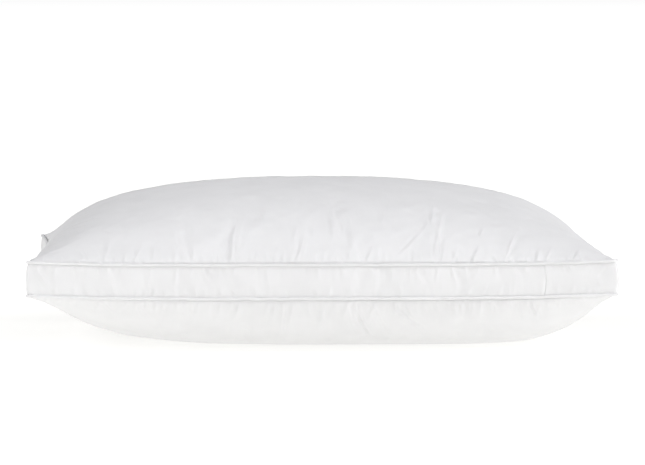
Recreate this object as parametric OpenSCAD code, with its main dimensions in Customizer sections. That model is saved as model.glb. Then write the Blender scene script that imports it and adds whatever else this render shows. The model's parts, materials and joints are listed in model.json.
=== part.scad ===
// Bed pillow with a gusset: two crowned panels, a side strip between them, and piping in both seams.
// It lies on its bottom panel. X runs along its length, Y along its width, towards the back, and Z up.

/* [Pillow] */
// Length between the corner tips
pillow_l = 644; // [560:2:760]
// Width between the corner tips
pillow_w = 492; // [440:2:580]
// Height of the lower seam above the surface that the pillow lies on
lower_seam_z = 61; // [50:1:75]
// Height of the gusset between its two seams
gusset_h = 37.2; // [30:0.2:50]
// Rise of the top panel above the upper seam
crown_h = 87; // [60:1:110]
// How far the long seams are drawn in at their middle
long_pull = 15; // [6:1:22]
// How far the short seams are drawn in at their middle
short_pull = 12; // [6:1:20]
// How far the seams rise at the corners
corner_lift = 5; // [0:0.5:8]
// How far the belly under the pillow lies towards +X, as a share of the half length
belly_shift = 0.2; // [0:0.01:0.25]

/* [Cloth and seams] */
// Thickness of the panels and the gusset strip
cloth_t = 0.8; // [0.6:0.1:1]
// Width of the seam allowance inside the pillow
allowance = 10; // [8:0.5:11]
// How far the gusset strip swells out between its seams
gusset_swell = 2; // [1:0.5:4]
// Outer radius of the piping
piping_r = 2.2; // [2:0.1:2.4]
// Radius of the cord inside the piping
cord_r = 1.3; // [1:0.1:1.4]
// Distance of the gusset's join from the middle of the front side
join_x = 244; // [150:2:250]
// Length of the hand-closed filling opening at the back
closing_l = 200; // [120:10:240]

/* [Label] */
// Width of the care label along the seam
label_w = 50; // [30:1:70]
// Length of the care label below its sewn edge
label_l = 45; // [25:1:45]
// Thickness of the care label
label_t = 0.4; // [0.3:0.1:0.5]
// Distance of the care label's middle from the middle of the back side
label_x = -60; // [-80:5:80]

/* [Hidden] */

half_l = pillow_l / 2;
half_w = pillow_w / 2;
upper_seam_z = lower_seam_z + gusset_h;

// Steps along each side of the seams, and rings of a panel from its middle to its seam.
side_steps = 20;
rings = 9;
// The higher this power, the sharper the corners in plan.
corner_power = 50;
// The power of the curve that draws the sides in between the corners.
pull_power = 2.5;
// Powers of the top panel's curve, first along the length, then across the width.
crown_long = [2.6, 0.5];
crown_wide = [2.2, 0.7];
// The same for the bottom panel, and the share of its depth at which it lies flat.
belly_long = [3.4, 0.83];
belly_wide = [2.2, 0.7];
belly_flat = 0.92;
// The fill stays this far inside the cloth, and this far in from the seams, where the allowances are.
fill_gap = 1.2;
fill_inset = allowance + 2.5;
// How far it clears the allowances, towards its panel and towards the gusset.
fill_clear = [3, 3.5];
// Between the seams it comes back out to here, from this far past each seam.
fill_out = -2.5;
fill_turn = 10;
// The seams' layers, measured out from the seam line and up or down from its height.
flange_t = 0.6;
layer_z = 1.1;
fold_out = -1.6;
shoulder = [-0.4, 3.2];
shoulder_inside = [-1.2, 3.5];
piping_out = 0.8;
thread_out = -4;
thread_t = 0.3;

cotton = [0.93, 0.94, 0.96];
piping_cotton = [0.90, 0.91, 0.93];
cord_cotton = [0.88, 0.86, 0.80];
thread_white = [0.97, 0.97, 0.97];
fibre = [0.98, 0.98, 0.96];
satin = [0.95, 0.95, 0.97];

// The seam's loop in u and v, which run from -1 to 1 along the length and the width: a square with
// rounded corners, counter-clockwise from the front left corner, with its points closest at the corners.
function side_point(side, a) = side == 0 ? [a, -1] : side == 1 ? [1, a] : side == 2 ? [-a, 1] : [-1, -a];
function rounded(p) = p / pow(pow(abs(p[0]), corner_power) + pow(abs(p[1]), corner_power), 1 / corner_power);
LOOP = [
    for (side = [0:3], i = [0:side_steps - 1])
        rounded(side_point(side, sin(90 * (2 * i / side_steps - 1))))
];

// Place in plan of a point given in u and v, with the sides drawn in between the corners.
function plan(p) = [
    p[0] * (half_l - short_pull * (1 - pow(abs(p[1]), pull_power))),
    p[1] * (half_w - long_pull * (1 - pow(abs(p[0]), pull_power)))
];
function lift(p) = corner_lift * pow(abs(p[0] * p[1]), 4);

// A point beside the seam: out from the loop's point p, and up from the height z.
function moved_out(p, out) = [p[0] * (1 + out / half_l), p[1] * (1 + out / half_w)];
function beside_seam(p, out, z) = concat(plan(moved_out(p, out)), [z + lift(p)]);

// The outer faces of the two panels.
function bow(a, powers) = pow(max(1 - pow(abs(a), powers[0]), 0), powers[1]);
function top_face(p) =
    concat(plan(p), [upper_seam_z + lift(p) + crown_h * bow(p[0], crown_long) * bow(p[1], crown_wide)]);
function belly(p) = bow(p[0] - belly_shift * (1 - p[0] * p[0]), belly_long) * bow(p[1], belly_wide);
function bottom_face(p) =
    concat(plan(p), [(lower_seam_z + lift(p)) * pow(max(1 - belly(p) / belly_flat, 0), 2)]);
function face(p, up) = up ? top_face(p) : bottom_face(p);

// A point of a panel's face moved into the pillow by depth, along the face's normal.
function unit(a) = a / norm(a);
function normal(p, up) =
    let (e = 0.004)
    unit(cross(face(p + [e, 0], up) - face(p - [e, 0], up), face(p + [0, e], up) - face(p - [0, e], up)));
function under_face(p, up, depth) = face(p, up) - (up ? 1 : -1) * depth * normal(p, up);

// A ring of cross-sections, each a closed outline with the same number of points. It closes on itself, or
// ends in two caps. An outline that ends in caps is a strip: out along one face, and back along the other.
module swept(sections, closed = true) {
    count = len(sections);
    m = len(sections[0]);
    walls = [
        for (i = [0:count - (closed ? 1 : 2)], j = [0:m - 1])
            let (k = (i + 1) % count * m, n = (j + 1) % m)
            each [[i * m + j, k + n, i * m + n], [i * m + j, k + j, k + n]]
    ];
    end = (count - 1) * m;
    caps = closed ? [] : [
        for (j = [0:m / 2 - 2])
            let (a = j, b = j + 1, c = m - 2 - j, d = m - 1 - j)
            each [[a, b, c], [a, c, d], [end + a, end + c, end + b], [end + a, end + d, end + c]]
    ];
    polyhedron([for (s = sections) each s], concat(walls, caps));
}

// An outline of points [out, up] carried round the seam at the height z, or along a list of loop points.
module round_seam(outline, z, loop = LOOP, closed = true) {
    swept([for (p = loop) [for (c = outline) beside_seam(p, c[0], z + c[1])]], closed);
}

// A closed skin: open sections round the loop, shut by a middle point at each end of the sections.
module skin(sections, first, last) {
    count = len(sections);
    m = len(sections[0]);
    a = count * m;
    walls = [
        for (i = [0:count - 1], j = [0:m - 2])
            let (k = (i + 1) % count)
            each [[i * m + j, k * m + j + 1, i * m + j + 1], [i * m + j, k * m + j, k * m + j + 1]]
    ];
    fans = [
        for (i = [0:count - 1])
            let (k = (i + 1) % count)
            each [[a, k * m, i * m], [a + 1, i * m + m - 1, k * m + m - 1]]
    ];
    polyhedron(concat([for (s = sections) each s], [first, last]), concat(walls, fans));
}

function ring_share(k) = sin(90 * k / rings);

// One panel: its outer face out to the seam, its allowance folded in beside the piping's flange, and
// back along its inner face. The bottom panel is the same section turned over.
function panel_section(p, up) =
    let (
        s = up ? 1 : -1,
        z = up ? upper_seam_z : lower_seam_z,
        outer = [for (k = [1:rings - 1]) face(ring_share(k) * p, up)],
        inner = [for (k = [rings - 1:-1:1]) under_face(ring_share(k) * p, up, cloth_t)],
        seam = [
            beside_seam(p, shoulder[0], z + s * shoulder[1]),
            beside_seam(p, fold_out, z + s * layer_z),
            beside_seam(p, -allowance, z + s * layer_z),
            beside_seam(p, -allowance, z + s * (layer_z + cloth_t)),
            beside_seam(p, fold_out - cloth_t * 0.6, z + s * (layer_z + cloth_t)),
            beside_seam(p, shoulder_inside[0], z + s * shoulder_inside[1])
        ]
    )
    concat(outer, seam, inner);

function turned_over(sections, up) = up ? sections : [for (i = [len(sections) - 1:-1:0]) sections[i]];

module panel(up) {
    sections = turned_over([for (p = LOOP) panel_section(p, up)], up);
    skin(sections, face([0, 0], up), under_face([0, 0], up, cloth_t));
}

// The gusset's outline: its allowance folded in under each seam, and a wall that swells out between them.
gusset_outline = [
    [-allowance, -layer_z],
    [fold_out, -layer_z],
    [gusset_swell, -gusset_h / 2],
    [fold_out, layer_z - gusset_h],
    [-allowance, layer_z - gusset_h],
    [-allowance, layer_z - gusset_h + cloth_t],
    [fold_out - cloth_t * 1.2, layer_z - gusset_h + cloth_t],
    [gusset_swell - cloth_t, -gusset_h / 2],
    [fold_out - cloth_t * 1.2, -layer_z - cloth_t],
    [-allowance, -layer_z - cloth_t]
];

// The piping: a strip folded round its cord, the two layers of its flange a hair apart.
function piping_circle(r, angles) = [for (a = angles) [piping_out + r * cos(a), r * sin(a)]];
bore_r = cord_r + 0.15;
piping_outline = concat(
    [[-allowance, flange_t], [fold_out, flange_t]],
    piping_circle(piping_r, [140, 80, 27, -27, -80, -140]),
    [[fold_out, -flange_t], [-allowance, -flange_t], [-allowance, -0.1]],
    [[piping_out - bore_r, -0.1]],
    piping_circle(bore_r, [-120:60:120]),
    [[piping_out - bore_r, 0.1], [-allowance, 0.1]]
);
cord_outline = piping_circle(cord_r, [300:-60:0]);

// A row of stitches, as one flat line that goes through every layer of the seam.
function thread_outline(height) = [
    [thread_out - thread_t / 2, -height / 2],
    [thread_out - thread_t / 2, height / 2],
    [thread_out + thread_t / 2, height / 2],
    [thread_out + thread_t / 2, -height / 2]
];
seam_thread_h = 2 * (layer_z + cloth_t) + 0.4;

// The fill's section: close under both panels, and drawn in round the allowances at the two seams.
fill_rings = rings - 2;
function fill_section(p) =
    concat(
        [for (k = [1:fill_rings]) under_face(ring_share(k) * p, true, cloth_t + fill_gap)],
        [
            beside_seam(p, -fill_inset, upper_seam_z + fill_clear[0]),
            beside_seam(p, -fill_inset, upper_seam_z - fill_clear[1]),
            beside_seam(p, fill_out, upper_seam_z - fill_turn),
            beside_seam(p, fill_out, lower_seam_z + fill_turn),
            beside_seam(p, -fill_inset, lower_seam_z + fill_clear[1]),
            beside_seam(p, -fill_inset, lower_seam_z - fill_clear[0])
        ],
        [for (k = [fill_rings:-1:1]) under_face(ring_share(k) * p, false, cloth_t + fill_gap)]
    );

// The loop from just past the gusset's join, all the way round to just before it.
join_gap = 0.4;
function on_front(x) = rounded([x / half_l, -1]);
after_join = [for (i = [0:side_steps]) if (LOOP[i][0] > (join_x + join_gap / 2) / half_l) i][0];
join_loop = concat(
    [on_front(join_x + join_gap / 2)],
    [for (i = [0:len(LOOP) - 1]) LOOP[(after_join + i) % len(LOOP)]],
    [on_front(join_x - join_gap / 2)]
);

// Points along the back side of the loop, from x = from down to x = to.
function on_back(from, to, steps) =
    [for (i = [0:steps]) rounded([(from + (to - from) * i / steps) / half_l, 1])];

// The stitches behind the join follow the strip's inner face from one allowance to the other.
join_thread_w = 1.6;
join_thread_end = 5;
// Their faces, measured out from the strip's inner face: the outer one lies a little way into the cloth.
join_thread_faces = [0.3, -0.5];
wall_middle = gusset_swell - cloth_t;
function wall_inside(z) =
    let (
        share = (abs(z) - layer_z - cloth_t) / (gusset_h / 2 - layer_z - cloth_t),
        fold = fold_out - cloth_t * 1.2
    )
    fold + (wall_middle - fold) * share;
function join_thread_face(out) = [
    [wall_inside(join_thread_end) + out, -join_thread_end],
    [wall_middle + out, -gusset_h / 2],
    [wall_inside(join_thread_end) + out, join_thread_end - gusset_h]
];
join_thread_back = join_thread_face(join_thread_faces[1]);
join_thread_outline = concat(
    join_thread_face(join_thread_faces[0]),
    [for (i = [2:-1:0]) join_thread_back[i]]
);

// The closing row lies between the seam's own row and the piping, along the back from here.
closing_from = 200;
closing_out = -2.8;

// The label's tab runs from between the allowances, round under the piping, to the label's hinge line.
tab_outline = [
    [-8, -0.7], [-1.55, -0.7], [-1.08, -1.62], [-0.12, -2.16], [0.8, -2.35], [1.35, -2.5],
    [1.25, -2.8], [0.8, -2.65], [0, -2.42], [-0.82, -1.86], [-1.62, -1], [-8, -1]
];
hinge_out = 2;
hinge_down = 3.3;
hinge = beside_seam(rounded([label_x / half_l, 1]), hinge_out, lower_seam_z - hinge_down);

module top_panel() {
    color(cotton)
        panel(true);
}

module bottom_panel() {
    color(cotton)
        panel(false);
}

// One long strip, its two ends butted at the join.
module gusset_strip() {
    color(cotton)
        round_seam(gusset_outline, upper_seam_z, join_loop, false);
}

// An upright row of stitches behind the join, through both ends of the strip.
module gusset_join_thread() {
    ends = [on_front(join_x - join_thread_w / 2), on_front(join_x + join_thread_w / 2)];
    color(thread_white)
        round_seam(join_thread_outline, upper_seam_z, ends, false);
}

module upper_piping_cover() {
    color(piping_cotton)
        round_seam(piping_outline, upper_seam_z);
}

module upper_piping_cord() {
    color(cord_cotton)
        round_seam(cord_outline, upper_seam_z);
}

module lower_piping_cover() {
    color(piping_cotton)
        round_seam(piping_outline, lower_seam_z);
}

module lower_piping_cord() {
    color(cord_cotton)
        round_seam(cord_outline, lower_seam_z);
}

module upper_seam_thread() {
    color(thread_white)
        round_seam(thread_outline(seam_thread_h), upper_seam_z);
}

module lower_seam_thread() {
    color(thread_white)
        round_seam(thread_outline(seam_thread_h), lower_seam_z);
}

// The second, shorter row that closes the filling opening.
module closing_thread() {
    row = [for (c = thread_outline(seam_thread_h)) c + [closing_out - thread_out, 0]];
    color(thread_white)
        round_seam(row, lower_seam_z, on_back(closing_from, closing_from - closing_l, 8), false);
}

module fill() {
    inside = [0, 0, cloth_t + fill_gap];
    color(fibre)
        skin([for (p = LOOP) fill_section(p)], face([0, 0], true) - inside, face([0, 0], false) + inside);
}

module label_tab() {
    along = on_back(label_x + label_w / 2, label_x - label_w / 2, 4);
    color(satin)
        round_seam(tab_outline, lower_seam_z, along, false);
}

// It hangs straight down from its hinge line.
module care_label() {
    color(satin)
        translate([label_x - label_w / 2, hinge[1], hinge[2]])
            union() {
                rotate([0, 90, 0])
                    cylinder(r = label_t / 2, h = label_w, $fn = 24);
                translate([0, -label_t / 2, -label_l])
                    cube([label_w, label_t, label_l]);
            }
}

top_panel();
bottom_panel();
gusset_strip();
gusset_join_thread();
upper_piping_cover();
upper_piping_cord();
lower_piping_cover();
lower_piping_cord();
upper_seam_thread();
lower_seam_thread();
closing_thread();
fill();
label_tab();
care_label();
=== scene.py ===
"""A white bed pillow with a gusset and piped seams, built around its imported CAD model.

The cover is cut flat, sewn round the gusset and blown up by a cloth simulation. The simulation gives the
creases and puckers, and the design's own curves give the overall shape.
"""

import json
import math

import bpy
import numpy as np
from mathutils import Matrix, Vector


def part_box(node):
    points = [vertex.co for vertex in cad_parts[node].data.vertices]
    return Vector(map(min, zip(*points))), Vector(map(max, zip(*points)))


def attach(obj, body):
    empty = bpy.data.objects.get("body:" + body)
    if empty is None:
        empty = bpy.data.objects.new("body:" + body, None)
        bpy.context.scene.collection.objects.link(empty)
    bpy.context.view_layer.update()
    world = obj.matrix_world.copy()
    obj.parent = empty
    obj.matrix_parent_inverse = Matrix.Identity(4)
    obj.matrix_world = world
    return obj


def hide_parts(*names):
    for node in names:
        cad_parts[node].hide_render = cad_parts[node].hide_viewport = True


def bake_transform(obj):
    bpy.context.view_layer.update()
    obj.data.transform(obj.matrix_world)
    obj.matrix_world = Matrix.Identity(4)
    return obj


MM = 0.001
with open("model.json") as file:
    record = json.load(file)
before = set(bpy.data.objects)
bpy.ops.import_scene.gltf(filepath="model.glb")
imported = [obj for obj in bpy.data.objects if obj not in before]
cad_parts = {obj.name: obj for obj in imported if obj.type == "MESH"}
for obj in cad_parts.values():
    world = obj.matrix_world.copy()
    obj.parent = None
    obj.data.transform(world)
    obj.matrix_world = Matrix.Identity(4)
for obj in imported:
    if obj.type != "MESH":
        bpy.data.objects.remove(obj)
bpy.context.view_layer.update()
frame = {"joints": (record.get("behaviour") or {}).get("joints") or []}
SEED = 7

# -------------------- sizes, from the frame

# The solid piping cover's radius, and how far its lowest point is below the seam as a share of it.
COVER_R = 2.2 * MM
COVER_DROP = 0.985
# The piping itself, and how far its middle lies out from the seam.
PIPING_R = 1.7 * MM
PIPING_OUT = 0.8 * MM
# How far the solid cover reaches out past the seam, along the length and the width.
COVER_OUT = (1.1 * MM, 0.8 * MM)
upper_cover_low, upper_cover_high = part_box("upper_piping_cover")
HALF_L = upper_cover_high.x - COVER_OUT[0]
HALF_W = upper_cover_high.y - COVER_OUT[1]
UPPER_SEAM = upper_cover_low.z + COVER_DROP * COVER_R
LOWER_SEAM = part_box("lower_piping_cover")[0].z + COVER_DROP * COVER_R
GUSSET_H = UPPER_SEAM - LOWER_SEAM
CROWN_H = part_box("top_panel")[1].z - UPPER_SEAM
HALF = np.array([HALF_L, HALF_W])

# The design's curves: how the seams are drawn in and lifted, and how the two panels bow.
LONG_PULL = 15 * MM
SHORT_PULL = 12 * MM
PULL_POWER = 2.5
CORNER_LIFT = 5 * MM
CORNER_POWER = 110
CROWN_LONG, CROWN_WIDE = (2.6, 0.5), (2.2, 0.7)
BELLY_LONG, BELLY_WIDE = (3.4, 0.83), (2.2, 0.7)
BELLY_FLAT = 0.92
BELLY_SHIFT = 0.2
GUSSET_SWELL = 2 * MM
ALLOWANCE = 10 * MM
# The cloth's corners reach a little past the solid ones.
TIP_OUT = 2.4 * MM
TIP_POWER = 12


def bow(a, powers):
    return np.maximum(1 - np.abs(a) ** powers[0], 0) ** powers[1]


def plan(u, v):
    """The place in plan of a point given in u and v, which run from -1 to 1 along the length and width."""
    tip = TIP_OUT * np.abs(u * v) ** TIP_POWER
    x = u * (HALF_L + tip - SHORT_PULL * (1 - np.abs(v) ** PULL_POWER))
    y = v * (HALF_W + tip - LONG_PULL * (1 - np.abs(u) ** PULL_POWER))
    return x, y


def lift(u, v):
    return CORNER_LIFT * np.abs(u * v) ** 4


def rounded(a, b):
    """Turns the square's sharp corners into round ones, ring by ring."""
    large = np.maximum(np.abs(a), np.abs(b))
    small = np.minimum(np.abs(a), np.abs(b))
    ratio = small / np.maximum(large, 1e-9)
    share = (1 + ratio**CORNER_POWER) ** (-1 / CORNER_POWER)
    return a * share, b * share


def spread(s, evenness):
    """Places along a side, from even steps: closer together near the seams, where the cloth is steep."""
    return evenness * s + (1 - evenness) * np.sin(math.pi / 2 * s)


def top_face(u, v):
    x, y = plan(u, v)
    return np.stack([x, y, UPPER_SEAM + lift(u, v) + CROWN_H * bow(u, CROWN_LONG) * bow(v, CROWN_WIDE)], -1)


def bottom_face(u, v):
    x, y = plan(u, v)
    belly = bow(u - BELLY_SHIFT * (1 - u * u), BELLY_LONG) * bow(v, BELLY_WIDE)
    return np.stack([x, y, (LOWER_SEAM + lift(u, v)) * np.maximum(1 - belly / BELLY_FLAT, 0) ** 2], -1)


def wall_face(u, v, share):
    """A point of the gusset: share is 0 at the lower seam and 1 at the upper one."""
    out = GUSSET_SWELL * 4 * share * (1 - share)
    x, y = plan(u * (1 + out / HALF_L), v * (1 + out / HALF_W))
    return np.stack([x, y, LOWER_SEAM + lift(u, v) + GUSSET_H * share], -1)


# -------------------- the cloth simulation

EVEN_LONG, EVEN_WIDE = 0.8, 0.5
SIM_LONG, SIM_WIDE, SIM_WALL = 124, 96, 7
# The sizes along which the cover was cut, from seam to seam.
CUT_L, CUT_W, CUT_WALL = 705 * MM, 525 * MM, 39 * MM
SIM_FRAMES = 30
SEAM_HOLD = 0.2
START_NOISE = 1.0 * MM
START_WAVE = 14 * MM
SWELL_PASSES = 150


def grid(long_steps, wide_steps):
    """The u and v of a grid of points over a panel."""
    a = spread(np.linspace(-1, 1, long_steps + 1), EVEN_LONG)
    b = spread(np.linspace(-1, 1, wide_steps + 1), EVEN_WIDE)
    return rounded(*np.meshgrid(a, b, indexing="ij"))


def rim(long_steps, wide_steps):
    """The numbers of a grid's border points, counter-clockwise from the front left corner."""
    number = np.arange((long_steps + 1) * (wide_steps + 1)).reshape(long_steps + 1, wide_steps + 1)
    return np.concatenate([number[:-1, 0], number[-1, :-1], number[:0:-1, -1], number[0, :0:-1]])


def grid_faces(long_steps, wide_steps, up):
    number = np.arange((long_steps + 1) * (wide_steps + 1)).reshape(long_steps + 1, wide_steps + 1)
    quads = np.stack([number[:-1, :-1], number[1:, :-1], number[1:, 1:], number[:-1, 1:]], -1).reshape(-1, 4)
    return quads if up else quads[:, ::-1]


def ring_faces(rings, closed=True):
    """Quads between rows of point numbers, each row a ring that closes on itself."""
    faces = []
    for low, high in zip(rings[:-1], rings[1:]):
        low_next, high_next = np.roll(low, -1), np.roll(high, -1)
        quads = np.stack([low, low_next, high_next, high], -1)
        faces.append(quads if closed else quads[:-1])
    return np.concatenate(faces)


def flat_cut(u, v):
    """Where a panel's point lies on its flat cut: evenly along the seams, and by length over the crown."""

    def by_length(a, powers, height, half):
        path = np.linspace(0, 1, 400)
        steps = np.hypot(np.diff(path) * half, np.diff(bow(path, powers)) * height)
        length = np.concatenate([[0], np.cumsum(steps)])
        return np.sign(a) * np.interp(np.abs(a), path, length / length[-1])

    rise_u, rise_v = bow(u, CROWN_LONG), bow(v, CROWN_WIDE)
    x = (1 - rise_v) * u + rise_v * by_length(u, CROWN_LONG, CROWN_H, HALF_L)
    y = (1 - rise_u) * v + rise_u * by_length(v, CROWN_WIDE, CROWN_H, HALF_W)
    return x * CUT_L / 2, y * CUT_W / 2


def smoothed(values, edges, passes):
    """Values at the points of a mesh, averaged with their neighbours again and again."""
    count = len(values)
    a, b = np.concatenate([edges, edges[:, ::-1]]).T
    degree = np.bincount(a, minlength=count)[:, None]
    for _ in range(passes):
        around = np.stack([np.bincount(a, values[b, k], count) for k in range(values.shape[1])], -1)
        values = 0.3 * values + 0.7 * around / degree
    return values


def mesh_object(name, points, faces):
    mesh = bpy.data.meshes.new(name)
    mesh.from_pydata(np.asarray(points).tolist(), [], np.asarray(faces).tolist())
    mesh.update()
    piece = bpy.data.objects.new(name, mesh)
    bpy.context.collection.objects.link(piece)
    return piece


def lattice_noise(x, y, seed):
    """Smooth noise from -1 to 1 over the plane, with one random value for each unit square's corner."""
    random = np.random.default_rng(seed).uniform(-1, 1, (64, 64))
    col, row = np.floor(x).astype(int), np.floor(y).astype(int)
    fx, fy = x - col, y - row
    fx, fy = fx * fx * (3 - 2 * fx), fy * fy * (3 - 2 * fy)
    near = random[col % 64, row % 64] * (1 - fx) + random[(col + 1) % 64, row % 64] * fx
    far = random[col % 64, (row + 1) % 64] * (1 - fx) + random[(col + 1) % 64, (row + 1) % 64] * fx
    return near * (1 - fy) + far * fy


def simulate_cover():
    """Blows up the sewn cover and returns how far its points moved, less the slow swell that would change
    the overall shape: a grid for the top, one for the bottom, and the wall's rings from low to high."""
    u, v = (c.ravel() for c in grid(SIM_LONG, SIM_WIDE))
    border = rim(SIM_LONG, SIM_WIDE)
    count, around = len(u), len(border)
    cut_x, cut_y = flat_cut(u, v)
    shares = np.arange(1, SIM_WALL) / SIM_WALL
    wall = [wall_face(u[border], v[border], share) for share in shares]
    points = np.concatenate([top_face(u, v), bottom_face(u, v)] + wall)
    half_wall = CUT_WALL / 2
    flat = [np.stack([cut_x, cut_y, np.full(count, z)], -1) for z in (half_wall, -half_wall)]
    for share in shares:
        height = np.full(around, CUT_WALL * (share - 0.5))
        flat.append(np.stack([cut_x[border], cut_y[border], height], -1))
    rings = [count + border]
    rings += [2 * count + k * around + np.arange(around) for k in range(SIM_WALL - 1)]
    rings += [border]
    top_faces = grid_faces(SIM_LONG, SIM_WIDE, True)
    bottom_faces = count + grid_faces(SIM_LONG, SIM_WIDE, False)
    faces = np.concatenate([top_faces, bottom_faces, ring_faces(rings)])
    rough = [
        lattice_noise(points[:, 0] / START_WAVE, (points[:, 1] + points[:, 2]) / START_WAVE, SEED + k)
        for k in range(3)
    ]
    start = points + START_NOISE * np.stack(rough, -1)
    cover = mesh_object("simulated_cover", start, faces)
    cover.shape_key_add(name="Basis")
    key = cover.shape_key_add(name="flat_cut")
    key.data.foreach_set("co", np.concatenate(flat).ravel())
    key.value = 0
    held = cover.vertex_groups.new(name="seams")
    held.add(np.concatenate([rings[0], rings[-1]]).tolist(), SEAM_HOLD, "REPLACE")
    cloth = cover.modifiers.new("Cloth", "CLOTH")
    cloth.point_cache.frame_start, cloth.point_cache.frame_end = 1, SIM_FRAMES
    settings = cloth.settings
    settings.vertex_group_mass = "seams"
    settings.pin_stiffness = 1
    settings.rest_shape_key = key
    settings.quality = 6
    settings.mass = 0.15
    settings.tension_stiffness = 40
    settings.compression_stiffness = 40
    settings.shear_stiffness = 12
    settings.bending_stiffness = 0.15
    settings.tension_damping = settings.compression_damping = 8
    settings.air_damping = 4
    settings.use_pressure = True
    settings.uniform_pressure_force = 3.0
    settings.effector_weights.gravity = 0
    for number in range(1, SIM_FRAMES + 1):
        bpy.context.scene.frame_set(number)
    shown = cover.evaluated_get(bpy.context.evaluated_depsgraph_get())
    after = np.empty(len(points) * 3)
    shown.data.vertices.foreach_get("co", after)
    edges = np.empty(len(cover.data.edges) * 2, int)
    cover.data.edges.foreach_get("vertices", edges)
    edges = edges.reshape(-1, 2)
    bpy.context.scene.frame_set(1)
    bpy.data.objects.remove(cover)
    moved = after.reshape(-1, 3) - points
    moved -= smoothed(moved, edges, SWELL_PASSES)
    shape = (SIM_LONG + 1, SIM_WIDE + 1, 3)
    return moved[:count].reshape(shape), moved[count : 2 * count].reshape(shape), moved[np.stack(rings)]


# -------------------- the pieces' shared shape

FINE_LONG, FINE_WIDE = 440, 220
RING = 2 * (FINE_LONG + FINE_WIDE)
# How much of the simulated movement is kept, and how much less of it near the seams.
SIM_SHARE = 0.65
SEAM_CALM, SEAM_REACH = 0.65, 12 * MM
# The cloth's fold beside the piping, and the seam's layers, each above or below the last.
FOLD_OUT = -1.2 * MM
LAYER = 0.45 * MM
# An allowance is drawn by two rings, this far in as shares of its width.
ALLOWANCE_RINGS = (0.6, 1)


def cubic_weights(coarse, places):
    """A matrix that takes values at even steps to other places from 0 to 1, along a smooth curve."""
    weights = np.zeros((len(places), coarse + 1))
    for row, t in enumerate(np.clip(places, 0, 1) * coarse):
        k = min(int(t), coarse - 1)
        f = t - k
        curve = (-f + 2 * f**2 - f**3, 2 - 5 * f**2 + 3 * f**3, f + 4 * f**2 - 3 * f**3, f**3 - f**2)
        for step, weight in zip((-1, 0, 1, 2), curve):
            weights[row, min(max(k + step, 0), coarse)] += weight / 2
    return weights


ALONG = cubic_weights(SIM_LONG, np.linspace(0, 1, FINE_LONG + 1))
ACROSS = cubic_weights(SIM_WIDE, np.linspace(0, 1, FINE_WIDE + 1))


def finer_grid(values):
    return np.einsum("ai,bj,ijk->abk", ALONG, ACROSS, values, optimize=True)


def finer_ring(values):
    """The same for values along the seam's ring, side by side."""
    starts = np.cumsum([0, SIM_LONG, SIM_WIDE, SIM_LONG, SIM_WIDE])
    sides = []
    for k, weights in enumerate((ALONG, ACROSS, ALONG, ACROSS)):
        side = np.arange(starts[k], starts[k + 1] + 1) % starts[-1]
        sides.append((weights @ values[side])[:-1])
    return np.concatenate(sides)


PANEL_U, PANEL_V = grid(FINE_LONG, FINE_WIDE)
RIM = rim(FINE_LONG, FINE_WIDE)
RING_U, RING_V = PANEL_U.ravel()[RIM], PANEL_V.ravel()[RIM]

top_moved, bottom_moved, wall_moved = simulate_cover()
top_moved, bottom_moved = finer_grid(top_moved), finer_grid(bottom_moved)
wall_moved = np.stack([finer_ring(ring) for ring in wall_moved])
# The stitches keep the seams straighter than the simulation does.
PANEL_EDGE = np.minimum(HALF_L * (1 - np.abs(PANEL_U)), HALF_W * (1 - np.abs(PANEL_V)))
panel_share = SIM_SHARE * (1 - SEAM_CALM * np.exp(-((PANEL_EDGE / SEAM_REACH) ** 2)))
top_moved, bottom_moved = panel_share[..., None] * top_moved, panel_share[..., None] * bottom_moved
WALL_EDGE = np.minimum(np.arange(SIM_WALL + 1), np.arange(SIM_WALL, -1, -1)) * GUSSET_H / SIM_WALL
wall_share = SIM_SHARE * (1 - SEAM_CALM * np.exp(-((WALL_EDGE / SEAM_REACH) ** 2)))
wall_moved = wall_share[:, None, None] * wall_moved


def unit(vectors):
    return vectors / np.maximum(np.linalg.norm(vectors, axis=-1, keepdims=True), 1e-12)


def ring_normals():
    """The directions straight out from the seam, in plan."""
    x, y = plan(RING_U, RING_V)
    along = np.stack([np.roll(x, -1) - np.roll(x, 1), np.roll(y, -1) - np.roll(y, 1)], -1)
    out = unit(np.stack([along[:, 1], -along[:, 0]], -1))
    for _ in range(2):
        out = unit(np.roll(out, 1, 0) + 2 * out + np.roll(out, -1, 0))
    return np.concatenate([out, np.zeros((RING, 1))], 1)


RING_OUT = ring_normals()
RING_PLAN = np.stack(plan(RING_U, RING_V), -1)
RING_STEPS = np.linalg.norm(np.roll(RING_PLAN, -1, 0) - RING_PLAN, axis=1)
RING_LENGTH = RING_STEPS.sum()
# How far round the seam each point of the ring lies, from the front left corner.
RING_AT = np.concatenate([[0], np.cumsum(RING_STEPS)[:-1]])
# Rings farther in than this could fold over themselves at the corners.
CORNER_FOLD = -4 * MM
LEVELS = {"upper": (UPPER_SEAM, SIM_WALL), "lower": (LOWER_SEAM, 0)}


def ring_at(values, places):
    """Values of the seam's ring at other places along it."""
    return np.stack([np.interp(places, RING_AT, column, period=RING_LENGTH) for column in values.T], -1)


def beside_seam(level, out, up):
    """A ring beside a seam. Far in, it follows the corners' rings, so that it never folds over itself."""
    height, row = LEVELS[level]
    scale = 0 if out > CORNER_FOLD else out
    x, y = plan(RING_U * (1 + scale / HALF_L), RING_V * (1 + scale / HALF_W))
    ring = np.stack([x, y, height + up + lift(RING_U, RING_V)], -1) + wall_moved[row]
    return ring + (out - scale) * RING_OUT


def surface_normals(points):
    """The normals of a grid of points: from above where it runs along X, then along Y."""
    return unit(np.cross(np.gradient(points, axis=0), np.gradient(points, axis=1)))


# -------------------- creases and puckers


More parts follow.
